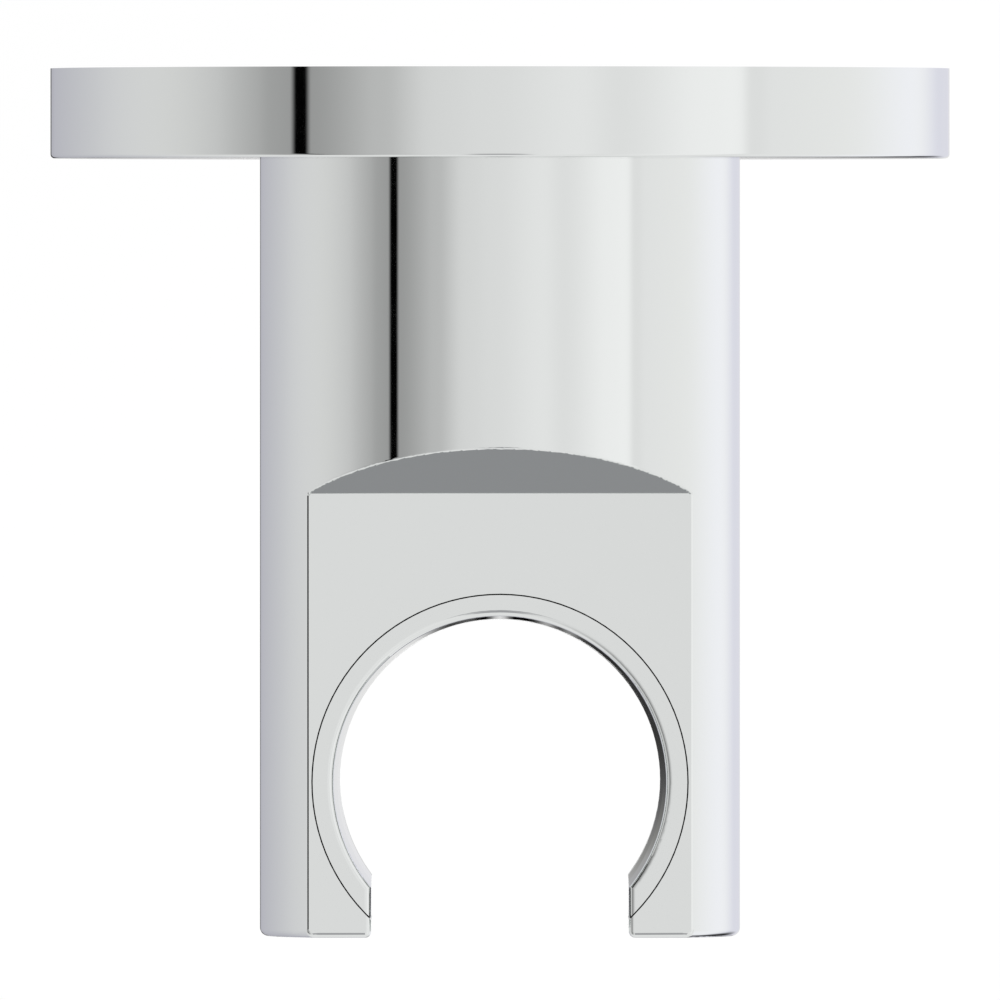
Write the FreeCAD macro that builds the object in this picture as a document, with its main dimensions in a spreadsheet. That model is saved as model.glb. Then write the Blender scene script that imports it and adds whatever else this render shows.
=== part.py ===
import FreeCAD, Part
import math
import os
import Sketcher

# Wall-mounted holder for a hand shower, in millimetres.
# The origin is the centre of the wall face: +Z points up, +Y into the wall, +X to the right.
# The holder reaches from the wall towards -Y, and its socket for the shower stands upright.

# Driving sizes: name, value, what it sets
SIZES = (
    ("throat_diameter", 23.2, "throat below the liner, and the foot of its cone, across"),
    ("grip_taper", 0.15, "how much wider the gripping cone is at its top, each side"),
    ("lead_taper", 0.25, "how much wider the lead-in above it is at the flat, each side"),
    ("lead_depth", 5.5, "lead-in, from the flat down to the gripping cone"),
    ("liner_wall", 1.55, "wall of the liner at the top"),
    ("liner_gap", 0.1, "width of the seam round the liner"),
    ("lip_edge", 0.5, "rounding of the liner's upper rim and ends"),
    ("ledge_depth", 8.0, "ledge under the liner, below the body's axis"),
    ("snap_height", 0.3, "snap bead on the liner, how far it stands out"),
    ("snap_width", 1.2, "snap bead, along the socket"),
    ("snap_rise", 4.0, "snap bead's middle above the ledge"),
    ("tab_width", 4.0, "tab that keeps the liner from turning"),
    ("tab_depth", 1.5, "notch for the tab, below the ledge"),
    ("tab_wall", 0.4, "wall left between tab and liner faces"),
    ("tab_gap", 0.1, "play round the tab"),
    ("body_wall", 3.8, "wall of the body beside the liner"),
    ("body_reach", 62.7, "body's front end, from the wall"),
    ("body_edge", 0.6, "rounding of the body's round front edge"),
    ("body_mouth_edge", 0.6, "bevel where the post enters the body"),
    ("socket_setback", 11.2, "upright axis of the socket, behind the front end"),
    ("slot_width", 18.58, "front slot for the hose"),
    ("slot_edge", 0.45, "rounding of the slot's front and lower edges"),
    ("throat_edge", 0.4, "bevel of the throat's lower edge"),
    ("flat_land", 0.33, "flat top left outside the liner on each side"),
    ("flat_length", 32.03, "flat top, front end to the foot of the step"),
    ("flat_edge", 0.4, "rounding all round the flat"),
    ("step_lean", 25.0, "degrees that the step leans back"),
    ("step_foot", 0.25, "hollow rounding at the foot of the step"),
    ("flange_diameter", 65.0, "round flange on the wall, across"),
    ("flange_depth", 6.5, "flange, wall to front face"),
    ("flange_front", 2.0, "thickness of the flange's front wall"),
    ("flange_rim", 3.0, "thickness of the flange's rim"),
    ("flange_lip", 1.2, "rim left outside the seal's seat"),
    ("flange_edge", 0.3, "rounding of the flange's front edge"),
    ("flange_corner", 0.8, "bevel inside the flange's hollow"),
    ("flange_gap", 0.1, "play of the flange round the post"),
    ("seal_thickness", 1.2, "rubber ring, wall to seat"),
    ("seal_gap", 0.05, "play of the rubber ring in its seat"),
    ("plate_space", 3.5, "space round the wall plate inside the flange"),
    ("plate_thickness", 3.0, "wall plate, thickness"),
    ("plate_edge", 0.4, "bevel of the wall plate's front edge"),
    ("wall_screw_inset", 7.0, "wall screw's axis inside the plate's edge"),
    ("wall_screw_hole", 5.2, "hole for a wall screw, across"),
    ("wall_screw_sink", 9.8, "countersink for a wall screw's head, across"),
    ("post_diameter", 20.0, "post that carries the body, across"),
    ("post_grip", 18.0, "post inside the body, length"),
    ("post_edge", 1.0, "bevel of the post's front end"),
    ("post_gap", 0.05, "play of the post in the body, each side"),
    ("post_end_gap", 0.5, "space left before the post's front end"),
    ("thread_diameter", 5.0, "post screw and grub screw, across the thread"),
    ("thread_gap", 0.05, "play round a screw's thread"),
    ("post_screw_length", 12.0, "post screw, overall"),
    ("post_screw_sink", 9.6, "countersink for the post screw's head, across"),
    ("post_screw_recess", 0.15, "post screw's head below the plate's back"),
    ("post_screw_key", 3.0, "hexagon in the post screw's head, across flats"),
    ("post_screw_key_depth", 1.6, "depth of that hexagon"),
    ("tap_run_out", 2.5, "tapped hole beyond the post screw's end"),
    ("pin_diameter", 3.0, "locating pin, across"),
    ("pin_length", 6.0, "locating pin, length"),
    ("pin_spacing", 14.0, "between the two locating pins"),
    ("pin_gap", 0.02, "play round a locating pin"),
    ("pin_recess", 0.2, "locating pin below the plate's back"),
    ("pin_edge", 0.4, "bevel of a locating pin's ends"),
    ("grub_setback", 9.0, "grub screw's axis, in front of the flange"),
    ("grub_seat", 1.5, "conical seat in the post, depth"),
    ("grub_draw", 0.3, "grub screw in front of its seat, which draws the body to the wall"),
    ("grub_tip", 0.6, "flat end of the grub screw's point, across"),
    ("grub_recess", 0.55, "grub screw below the body's surface"),
    ("grub_key", 2.5, "hexagon in the grub screw, across flats"),
    ("grub_key_depth", 2.8, "depth of that hexagon"),
    ("grub_sink", 0.5, "bevel of the grub screw's hole at the surface"),
    ("screw_edge", 0.3, "bevel of a screw's ends"),
    ("cut_past", 2.0, "how far a cut runs past the surface it opens"),
)

# What follows from the sizes, from the socket outwards
THROAT_RADIUS = "(size.throat_diameter / 2)"
GRIP_RADIUS = f"({THROAT_RADIUS} + size.grip_taper)"
MOUTH_RADIUS = f"({GRIP_RADIUS} + size.lead_taper)"
SEAM_RADIUS = f"({MOUTH_RADIUS} + size.liner_wall)"
LINER_RADIUS = f"({SEAM_RADIUS} - size.liner_gap / 2)"
BORE_RADIUS = f"({SEAM_RADIUS} + size.liner_gap / 2)"
SNAP_MIDDLE = "(size.snap_rise - size.ledge_depth)"
TAB_REACH = f"({LINER_RADIUS} - size.tab_wall)"
HALF_SLOT = "(size.slot_width / 2)"
BODY_RADIUS = f"({SEAM_RADIUS} + size.body_wall)"
PAST_BODY = f"({BODY_RADIUS} + size.cut_past)"
THROUGH_BODY = f"(2 * {PAST_BODY})"
SOCKET_REACH = "(size.body_reach - size.socket_setback)"
FLAT_HALF_WIDTH = f"({SEAM_RADIUS} + size.flat_land)"
FLAT_HEIGHT = f"sqrt({BODY_RADIUS} ^ 2 - {FLAT_HALF_WIDTH} ^ 2)"
STEP_REACH = "(size.body_reach - size.flat_length)"
STEP_TOP_REACH = f"({STEP_REACH} - ({PAST_BODY} - {FLAT_HEIGHT}) * tan(size.step_lean * 1 deg))"
FLANGE_RADIUS = "(size.flange_diameter / 2)"
FLANGE_HOLE_RADIUS = "(size.post_diameter / 2 + size.flange_gap)"
HOLLOW_RADIUS = f"({FLANGE_RADIUS} - size.flange_rim)"
HOLLOW_FLOOR = "(size.flange_depth - size.flange_front)"
SEAL_SEAT_RADIUS = f"({FLANGE_RADIUS} - size.flange_lip)"
PLATE_RADIUS = f"({HOLLOW_RADIUS} - size.plate_space)"
WALL_SCREW_REACH = f"({PLATE_RADIUS} - size.wall_screw_inset)"
POST_RADIUS = "(size.post_diameter / 2)"
POST_REACH = "(size.flange_depth + size.post_grip)"
POST_SOCKET_RADIUS = "(size.post_diameter / 2 + size.post_gap)"
POST_SOCKET_END = f"({POST_REACH} + size.post_end_gap)"
THREAD_RADIUS = "(size.thread_diameter / 2)"
TAPPED_RADIUS = "(size.thread_diameter / 2 + size.thread_gap)"
TAP_END = "(size.post_screw_recess + size.post_screw_length + size.tap_run_out)"
SINK_RADIUS = "(size.post_screw_sink / 2)"
PIN_RADIUS = "(size.pin_diameter / 2)"
PIN_HOLE_RADIUS = "(size.pin_diameter / 2 + size.pin_gap)"
PIN_REACH = "(size.pin_spacing / 2)"
PIN_END = "(size.pin_recess + size.pin_length)"
GRUB_REACH = "(size.flange_depth + size.grub_setback)"
GRUB_SEAT_REACH = f"({GRUB_REACH} - size.grub_draw)"
GRUB_SEAT_TOP = f"({POST_RADIUS} - size.grub_seat)"
GRUB_TOP = f"({GRUB_SEAT_TOP} + size.grub_draw)"
GRUB_BOTTOM = f"({BODY_RADIUS} - size.grub_recess)"

FULL_TURN = 360.0
SAME = 1e-4
SPOTS_ON_EDGE = 5

doc = FreeCAD.newDocument("hand_shower_holder")


def write_sizes():
    """Put the driving sizes in a sheet, each under its own name."""
    sheet = doc.addObject("Spreadsheet::Sheet", "size")
    for row, (name, value, meaning) in enumerate(SIZES, start=1):
        sheet.set(f"A{row}", name)
        sheet.set(f"B{row}", str(value))
        sheet.set(f"C{row}", meaning)
        sheet.setAlias(f"B{row}", name)
    doc.recompute()
    return sheet


size = write_sizes()


def value(rule):
    """Work out one rule, such as size.flange_diameter / 2."""
    result = size.evalExpression(rule.replace("size.", ""))
    return float(getattr(result, "Value", result))


def new_body(name):
    """A piece of the holder: one body, named for its file."""
    body = doc.addObject("PartDesign::Body", name)
    body.Label = name
    body.Placement = FreeCAD.Placement()
    return body


def new_sketch(body, plane, offset=None):
    """A sketch on one of the body's own planes, moved along the plane's normal by the rule."""
    sketch = body.newObject("Sketcher::SketchObject", f"{body.Name}_sketch")
    planes = {feature.Role: feature for feature in body.Origin.OriginFeatures}
    sketch.AttachmentSupport = [(planes[plane], "")]
    sketch.MapMode = "FlatFace"
    if offset:
        sketch.setExpression("AttachmentOffset.Base.z", offset)
    return sketch


def fix_point(sketch, piece, end, across, up):
    """Hold one end or centre of a drawn piece at the place that two rules give."""
    for kind, axis, rule in (("DistanceX", -2, across), ("DistanceY", -1, up)):
        if rule == "0":
            sketch.addConstraint(Sketcher.Constraint("PointOnObject", piece, end, axis))
            continue
        held = Sketcher.Constraint(kind, -1, 1, piece, end, value(rule))
        index = sketch.addConstraint(held)
        sketch.setExpression(f"Constraints[{index}]", rule)


def draw_outline(sketch, corners):
    """A closed outline of straight lines through corners given as pairs of rules."""
    spots = [FreeCAD.Vector(value(across), value(up), 0) for across, up in corners]
    lines = []
    for start, stop in zip(spots, spots[1:] + spots[:1]):
        lines.append(sketch.addGeometry(Part.LineSegment(start, stop)))
    for index, line in enumerate(lines):
        sketch.addConstraint(Sketcher.Constraint("Coincident", lines[index - 1], 2, line, 1))
        fix_point(sketch, line, 1, *corners[index])


def draw_circle(sketch, radius, across="0", up="0"):
    """A circle whose radius and centre are rules."""
    centre = FreeCAD.Vector(value(across), value(up), 0)
    upright = FreeCAD.Vector(0, 0, 1)
    circle = sketch.addGeometry(Part.Circle(centre, upright, value(radius)))
    index = sketch.addConstraint(Sketcher.Constraint("Radius", circle, value(radius)))
    sketch.setExpression(f"Constraints[{index}]", radius)
    fix_point(sketch, circle, 3, across, up)


def draw_hexagon(sketch, across_flats):
    """A hexagon for a key, centred on the sketch, with flats above and below."""
    half_flat = f"({across_flats} / 2)"
    half_side = f"({across_flats} / 2 * tan(30 deg))"
    point = f"({across_flats} / 2 / cos(30 deg))"
    corners = [
        (point, "0"),
        (half_side, half_flat),
        (f"-{half_side}", half_flat),
        (f"-{point}", "0"),
        (f"-{half_side}", f"-{half_flat}"),
        (half_side, f"-{half_flat}"),
    ]
    draw_outline(sketch, corners)


def turn(body, sketch, kind="Revolution"):
    """Turn a half section round the sketch's upright axis, to add or to cut."""
    feature = body.newObject(f"PartDesign::{kind}", f"{body.Name}_{kind.lower()}")
    feature.Profile = sketch
    feature.ReferenceAxis = (sketch, ["V_Axis"])
    feature.Angle = FULL_TURN
    doc.recompute()
    return feature


def cut(body, sketch, length, reverse=False, midplane=False):
    """Cut a drawn outline through a length, against the sketch's normal or along it."""
    before = body.Shape.Volume
    feature = body.newObject("PartDesign::Pocket", f"{body.Name}_pocket")
    feature.Profile = sketch
    feature.setExpression("Length", length)
    feature.Midplane = midplane
    feature.Reversed = reverse
    doc.recompute()
    if not body.Shape.Volume < before:
        raise RuntimeError(f"a cut in {body.Name} removes nothing")
    return feature


def add(body, sketch, length, reverse=False):
    """Raise a drawn outline to a length along the sketch's normal, or against it."""
    feature = body.newObject("PartDesign::Pad", f"{body.Name}_pad")
    feature.Profile = sketch
    feature.setExpression("Length", length)
    feature.Reversed = reverse
    doc.recompute()
    return feature


def edges_where(feature, test):
    """Names of the feature's edges that pass a test."""
    names = []
    for number, edge in enumerate(feature.Shape.Edges, start=1):
        if test(edge):
            names.append(f"Edge{number}")
    if not names:
        raise RuntimeError(f"{feature.Name} has no such edge")
    return names


def near(a, b):
    """Whether two lengths are the same."""
    return abs(a - b) < SAME


def spans(edge):
    """Lowest and highest corner of an edge."""
    box = edge.BoundBox
    return box.XMin, box.XMax, box.YMin, box.YMax, box.ZMin, box.ZMax


def is_ring(edge, radius, reach):
    """Whether an edge lies on a circle of this radius round the body's axis, at this reach."""
    if not isinstance(edge.Curve, Part.Circle):
        return False
    return near(edge.Curve.Radius, value(radius)) and near(edge.Curve.Center.y, -value(reach))


def round_off(body, base, names, radius):
    """Round the named edges."""
    feature = body.newObject("PartDesign::Fillet", f"{body.Name}_fillet")
    feature.Base = (base, names)
    feature.setExpression("Radius", radius)
    doc.recompute()
    return feature


def bevel(body, base, names, width):
    """Bevel the named edges at 45 degrees."""
    feature = body.newObject("PartDesign::Chamfer", f"{body.Name}_chamfer")
    feature.Base = (base, names)
    feature.setExpression("Size", width)
    doc.recompute()
    return feature


def make_flange():
    """Turned flange that covers the wall plate, hollow behind, with a seat for the seal."""
    body = new_body("escutcheon")
    section = new_sketch(body, "XY_Plane")
    corners = [
        (FLANGE_HOLE_RADIUS, "-size.flange_depth"),
        (FLANGE_RADIUS, "-size.flange_depth"),
        (FLANGE_RADIUS, "0"),
        (SEAL_SEAT_RADIUS, "0"),
        (SEAL_SEAT_RADIUS, "-size.seal_thickness"),
        (HOLLOW_RADIUS, "-size.seal_thickness"),
        (HOLLOW_RADIUS, f"-{HOLLOW_FLOOR}"),
        (FLANGE_HOLE_RADIUS, f"-{HOLLOW_FLOOR}"),
    ]
    draw_outline(section, corners)
    turned = turn(body, section)
    front = edges_where(turned, lambda edge: is_ring(edge, FLANGE_RADIUS, "size.flange_depth"))
    rounded = round_off(body, turned, front, "size.flange_edge")
    inside = edges_where(rounded, lambda edge: is_ring(edge, HOLLOW_RADIUS, HOLLOW_FLOOR))
    bevel(body, rounded, inside, "size.flange_corner")


def make_seal():
    """Flat rubber ring in the flange's rim, flush with the wall."""
    body = new_body("wall_seal")
    section = new_sketch(body, "XY_Plane")
    outer = f"({SEAL_SEAT_RADIUS} - size.seal_gap)"
    corners = [
        (HOLLOW_RADIUS, "-size.seal_thickness"),
        (outer, "-size.seal_thickness"),
        (outer, "0"),
        (HOLLOW_RADIUS, "0"),
    ]
    draw_outline(section, corners)
    turn(body, section)


def make_plate():
    """Steel plate that two countersunk screws hold on the wall."""
    body = new_body("wall_plate")
    disc = new_sketch(body, "XZ_Plane")
    draw_circle(disc, PLATE_RADIUS)
    raised = add(body, disc, "size.plate_thickness")
    front = edges_where(raised, lambda edge: is_ring(edge, PLATE_RADIUS, "size.plate_thickness"))
    bevel(body, raised, front, "size.plate_edge")
    for side in (WALL_SCREW_REACH, f"-{WALL_SCREW_REACH}"):
        # The wall screws go in from the front.
        cut_sunk_hole(body, side, "size.wall_screw_hole / 2", "size.wall_screw_sink / 2", True)
    # The post screw goes in from the back.
    cut_sunk_hole(body, "0", TAPPED_RADIUS, SINK_RADIUS, False)
    cut_pin_holes(body, "size.plate_thickness")


def cut_pin_holes(body, length):
    """The two holes for the locating pins, from the wall side."""
    pins = new_sketch(body, "XZ_Plane")
    for side in (PIN_REACH, f"-{PIN_REACH}"):
        draw_circle(pins, PIN_HOLE_RADIUS, up=side)
    cut(body, pins, length, reverse=True)


def cut_sunk_hole(body, across, radius, sink_radius, from_front):
    """A hole through the plate with a right-angled countersink on one side."""
    section = new_sketch(body, "XY_Plane")
    sink_depth = f"({sink_radius} - {radius})"
    outside, inside = "0", "-size.plate_thickness"
    step = f"-{sink_depth}"
    if from_front:
        outside, inside = inside, outside
        step = f"-size.plate_thickness + {sink_depth}"
    corners = [
        (across, outside),
        (f"{across} + {sink_radius}", outside),
        (f"{across} + {radius}", step),
        (f"{across} + {radius}", inside),
        (across, inside),
    ]
    draw_outline(section, corners)
    feature = body.newObject("PartDesign::Groove", f"{body.Name}_groove")
    feature.Profile = section
    last_line = len(corners) - 1
    feature.ReferenceAxis = (section, [f"Edge{last_line + 1}"])
    feature.Angle = FULL_TURN
    doc.recompute()


def make_post():
    """Turned brass post on the plate: the body slides over it and is clamped to it."""
    body = new_body("mounting_post")
    section = new_sketch(body, "XY_Plane")
    corners = [
        (TAPPED_RADIUS, "-size.plate_thickness"),
        (POST_RADIUS, "-size.plate_thickness"),
        (POST_RADIUS, f"-{POST_REACH} + size.post_edge"),
        (f"{POST_RADIUS} - size.post_edge", f"-{POST_REACH}"),
        ("0", f"-{POST_REACH}"),
        ("0", f"-{TAP_END}"),
        (TAPPED_RADIUS, f"-{TAP_END} + {TAPPED_RADIUS} * tan(30 deg)"),
    ]
    draw_outline(section, corners)
    turn(body, section)
    cut_pin_holes(body, f"{PIN_END} + size.pin_recess")
    seat = new_sketch(body, "XZ_Plane", offset=GRUB_SEAT_REACH)
    wide = "(size.grub_seat + size.cut_past)"
    mouth = f"-{GRUB_SEAT_TOP} - {wide}"
    corners = [("0", f"-{GRUB_SEAT_TOP}"), (wide, mouth), ("0", mouth)]
    draw_outline(seat, corners)
    turn(body, seat, "Groove")


def make_post_screw():
    """Countersunk screw from behind that holds the post on the plate."""
    body = new_body("post_screw")
    section = new_sketch(body, "XY_Plane")
    head_end = f"-({SINK_RADIUS} - {THREAD_RADIUS})"
    tip = "-(size.post_screw_recess + size.post_screw_length)"
    corners = [
        ("0", "-size.post_screw_recess"),
        (f"{SINK_RADIUS} - size.post_screw_recess", "-size.post_screw_recess"),
        (THREAD_RADIUS, head_end),
        (THREAD_RADIUS, f"{tip} + size.screw_edge"),
        (f"{THREAD_RADIUS} - size.screw_edge", tip),
        ("0", tip),
    ]
    draw_outline(section, corners)
    turn(body, section)
    key = new_sketch(body, "XZ_Plane", offset="size.post_screw_recess")
    draw_hexagon(key, "size.post_screw_key")
    cut(body, key, "size.post_screw_key_depth", reverse=True)


def make_pins():
    """Two pins between plate and post, which keep the post from turning."""
    body = new_body("locating_pins")
    body.AllowCompound = True
    for side in (PIN_REACH, f"-{PIN_REACH}"):
        circle = new_sketch(body, "XZ_Plane", offset="size.pin_recess")
        draw_circle(circle, PIN_RADIUS, up=side)
        add(body, circle, "size.pin_length")
    ends = edges_where(body.Tip, lambda edge: isinstance(edge.Curve, Part.Circle))
    bevel(body, body.Tip, ends, "size.pin_edge")


def make_body():
    """The body: a round bar, hollow behind for the post, milled in front for the socket."""
    body = new_body("holder_body")
    section = new_sketch(body, "XY_Plane")
    corners = [
        (POST_SOCKET_RADIUS, "-size.flange_depth"),
        (BODY_RADIUS, "-size.flange_depth"),
        (BODY_RADIUS, "-size.body_reach"),
        ("0", "-size.body_reach"),
        ("0", f"-{POST_SOCKET_END}"),
        (POST_SOCKET_RADIUS, f"-{POST_SOCKET_END}"),
    ]
    draw_outline(section, corners)
    bar = turn(body, section)
    front = edges_where(bar, lambda edge: is_ring(edge, BODY_RADIUS, "size.body_reach"))
    bar = round_off(body, bar, front, "size.body_edge")
    mouth = edges_where(bar, lambda edge: is_ring(edge, POST_SOCKET_RADIUS, "size.flange_depth"))
    bevel(body, bar, mouth, "size.body_mouth_edge")
    mill_flat(body)
    bore_socket(body)
    mill_slot(body)
    bore_grub_hole(body)
    finish_body_edges(body)


def mill_flat(body):
    """The flat top in front, and the leaning step behind it."""
    side = new_sketch(body, "YZ_Plane")
    corners = [
        (f"-{STEP_REACH}", FLAT_HEIGHT),
        (f"-{STEP_TOP_REACH}", PAST_BODY),
        ("-size.body_reach - size.cut_past", PAST_BODY),
        ("-size.body_reach - size.cut_past", FLAT_HEIGHT),
    ]
    draw_outline(side, corners)
    milled = cut(body, side, THROUGH_BODY, midplane=True)
    foot = -value(STEP_REACH)
    flat = value(FLAT_HEIGHT)

    def along_foot(edge):
        _, _, y_low, y_high, z_low, z_high = spans(edge)
        return near(y_low, foot) and near(y_high, foot) and near(z_low, flat) and near(z_high, flat)

    round_off(body, milled, edges_where(milled, along_foot), "size.step_foot")


def bore_socket(body):
    """The stepped bore: wide for the liner down to a ledge, then the throat."""
    section = new_sketch(body, "XZ_Plane", offset=SOCKET_REACH)
    snapped = f"({BORE_RADIUS} + size.snap_height)"
    corners = [
        ("0", PAST_BODY),
        (BORE_RADIUS, PAST_BODY),
        (BORE_RADIUS, f"{SNAP_MIDDLE} + size.snap_width / 2"),
        (snapped, f"{SNAP_MIDDLE} + size.snap_width / 4"),
        (snapped, f"{SNAP_MIDDLE} - size.snap_width / 4"),
        (BORE_RADIUS, f"{SNAP_MIDDLE} - size.snap_width / 2"),
        (BORE_RADIUS, "-size.ledge_depth"),
        (THROAT_RADIUS, "-size.ledge_depth"),
        (THROAT_RADIUS, f"-{PAST_BODY}"),
        ("0", f"-{PAST_BODY}"),
    ]
    draw_outline(section, corners)
    turn(body, section, "Groove")
    notch = new_sketch(body, "XY_Plane", offset="-size.ledge_depth")
    half_width = "(size.tab_width / 2)"
    outer = f"-{SOCKET_REACH} + {TAB_REACH} + size.tab_gap"
    corners = [
        (half_width, f"-{SOCKET_REACH}"),
        (half_width, outer),
        (f"-{half_width}", outer),
        (f"-{half_width}", f"-{SOCKET_REACH}"),
    ]
    draw_outline(notch, corners)
    cut(body, notch, "size.tab_depth")


def mill_slot(body):
    """The slot in front that lets the hose into the socket."""
    outline = new_sketch(body, "XY_Plane")
    past_front = "-size.body_reach - size.cut_past"
    corners = [
        (HALF_SLOT, f"-{SOCKET_REACH}"),
        (f"-{HALF_SLOT}", f"-{SOCKET_REACH}"),
        (f"-{HALF_SLOT}", past_front),
        (HALF_SLOT, past_front),
    ]
    draw_outline(outline, corners)
    cut(body, outline, THROUGH_BODY, midplane=True)


def bore_grub_hole(body):
    """The tapped hole for the grub screw, from below into the post's socket."""
    section = new_sketch(body, "XZ_Plane", offset=GRUB_REACH)
    sink_radius = f"{TAPPED_RADIUS} + size.grub_sink + size.cut_past"
    corners = [
        ("0", "0"),
        (TAPPED_RADIUS, "0"),
        (TAPPED_RADIUS, f"-({BODY_RADIUS} - size.grub_sink)"),
        (sink_radius, f"-{PAST_BODY}"),
        ("0", f"-{PAST_BODY}"),
    ]
    draw_outline(section, corners)
    turn(body, section, "Groove")


def finish_body_edges(body):
    """The small edges: under the throat, along the slot, then all round the flat."""
    half_slot = value(HALF_SLOT)
    front = -value("size.body_reach")
    flat = value(FLAT_HEIGHT)
    bar = value(BODY_RADIUS)
    throat = value(THROAT_RADIUS)
    throat_axis = -value(SOCKET_REACH)

    def slot_front(edge):
        x_low, x_high, y_low, y_high, _, _ = spans(edge)
        upright = near(x_low, x_high) and near(y_low, y_high)
        return upright and near(abs(x_low), half_slot) and near(y_low, front)

    def throat_end(edge):
        spots = edge.discretize(SPOTS_ON_EDGE)
        on_throat = all(near(math.hypot(spot.x, spot.y - throat_axis), throat) for spot in spots)
        on_bar = all(near(math.hypot(spot.x, spot.z), bar) for spot in spots)
        return on_throat and on_bar

    def slot_top(edge):
        x_low, x_high, _, _, z_low, z_high = spans(edge)
        level = near(z_low, flat) and near(z_high, flat)
        return level and near(x_low, x_high) and near(abs(x_low), half_slot)

    base = body.Tip
    bevelled = bevel(body, base, edges_where(base, throat_end), "size.throat_edge")
    rounded = round_off(body, bevelled, edges_where(bevelled, slot_front), "size.slot_edge")
    round_off(body, rounded, edges_where(rounded, slot_top), "size.flat_edge")


def make_liner():
    """The liner: a ring open at the front, with the cone that the shower rests in."""
    body = new_body("socket_liner")
    body.setExpression("Placement.Base.y", f"-{SOCKET_REACH}")
    section = new_sketch(body, "XZ_Plane")
    snapped = f"({LINER_RADIUS} + size.snap_height)"
    corners = [
        (MOUTH_RADIUS, FLAT_HEIGHT),
        (LINER_RADIUS, FLAT_HEIGHT),
        (LINER_RADIUS, f"{SNAP_MIDDLE} + size.snap_width / 2"),
        (snapped, f"{SNAP_MIDDLE} + size.snap_width / 4"),
        (snapped, f"{SNAP_MIDDLE} - size.snap_width / 4"),
        (LINER_RADIUS, f"{SNAP_MIDDLE} - size.snap_width / 2"),
        (LINER_RADIUS, "-size.ledge_depth"),
        (THROAT_RADIUS, "-size.ledge_depth"),
        (GRIP_RADIUS, f"{FLAT_HEIGHT} - size.lead_depth"),
    ]
    draw_outline(section, corners)
    turn(body, section)
    tab = new_sketch(body, "XY_Plane", offset="-size.ledge_depth")
    half_width = "(size.tab_width / 2 - size.tab_gap)"
    inner = f"{THROAT_RADIUS} + size.tab_wall"
    corners = [
        (half_width, inner),
        (half_width, TAB_REACH),
        (f"-{half_width}", TAB_REACH),
        (f"-{half_width}", inner),
    ]
    draw_outline(tab, corners)
    add(body, tab, "size.tab_depth - size.tab_gap", reverse=True)
    opening = new_sketch(body, "XY_Plane")
    past_front = f"-{LINER_RADIUS} - size.cut_past"
    corners = [
        (HALF_SLOT, "0"),
        (f"-{HALF_SLOT}", "0"),
        (f"-{HALF_SLOT}", past_front),
        (HALF_SLOT, past_front),
    ]
    draw_outline(opening, corners)
    ring = cut(body, opening, THROUGH_BODY, midplane=True)
    flat = value(FLAT_HEIGHT)
    half_slot = value(HALF_SLOT)
    rim_radius = value(MOUTH_RADIUS)

    def upper_inner(edge):
        x_low, x_high, _, _, z_low, z_high = spans(edge)
        if not (near(z_low, flat) and near(z_high, flat)):
            return False
        end = near(x_low, x_high) and near(abs(x_low), half_slot)
        rim = isinstance(edge.Curve, Part.Circle) and near(edge.Curve.Radius, rim_radius)
        return end or rim

    round_off(body, ring, edges_where(ring, upper_inner), "size.lip_edge")


def make_grub_screw():
    """Headless screw: its point sits in the post's seat and draws the body to the wall."""
    body = new_body("grub_screw")
    body.setExpression("Placement.Base.y", f"-{GRUB_REACH}")
    section = new_sketch(body, "XZ_Plane")
    tip_radius = "(size.grub_tip / 2)"
    corners = [
        ("0", f"-{GRUB_TOP} - {tip_radius}"),
        (tip_radius, f"-{GRUB_TOP} - {tip_radius}"),
        (THREAD_RADIUS, f"-{GRUB_TOP} - {THREAD_RADIUS}"),
        (THREAD_RADIUS, f"-{GRUB_BOTTOM} + size.screw_edge"),
        (f"{THREAD_RADIUS} - size.screw_edge", f"-{GRUB_BOTTOM}"),
        ("0", f"-{GRUB_BOTTOM}"),
    ]
    draw_outline(section, corners)
    turn(body, section)
    key = new_sketch(body, "XY_Plane", offset=f"-{GRUB_BOTTOM}")
    draw_hexagon(key, "size.grub_key")
    cut(body, key, "size.grub_key_depth", reverse=True)


def check_model():
    """Stop if any object failed or any piece isn't a sound solid."""
    for item in doc.Objects:
        if {"Invalid", "Error"} & set(item.State):
            raise RuntimeError(f"{item.Name} failed")
    for body in pieces():
        if body.Shape.isNull() or not body.Shape.isValid() or not body.Shape.Solids:
            raise RuntimeError(f"{body.Label} is not a sound solid")


def pieces():
    """Every piece of the holder."""
    return [item for item in doc.Objects if item.TypeId == "PartDesign::Body"]


make_flange()
make_seal()
make_plate()
make_post()
make_post_screw()
make_pins()
make_body()
make_liner()
make_grub_screw()
doc.recompute()
check_model()
os.makedirs("parts", exist_ok=True)
for piece in pieces():
    piece.Shape.exportStep(f"parts/{piece.Label}.step")
    print(piece.Label, len(piece.Shape.Solids), round(piece.Shape.Volume, 1))
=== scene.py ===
import math

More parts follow.
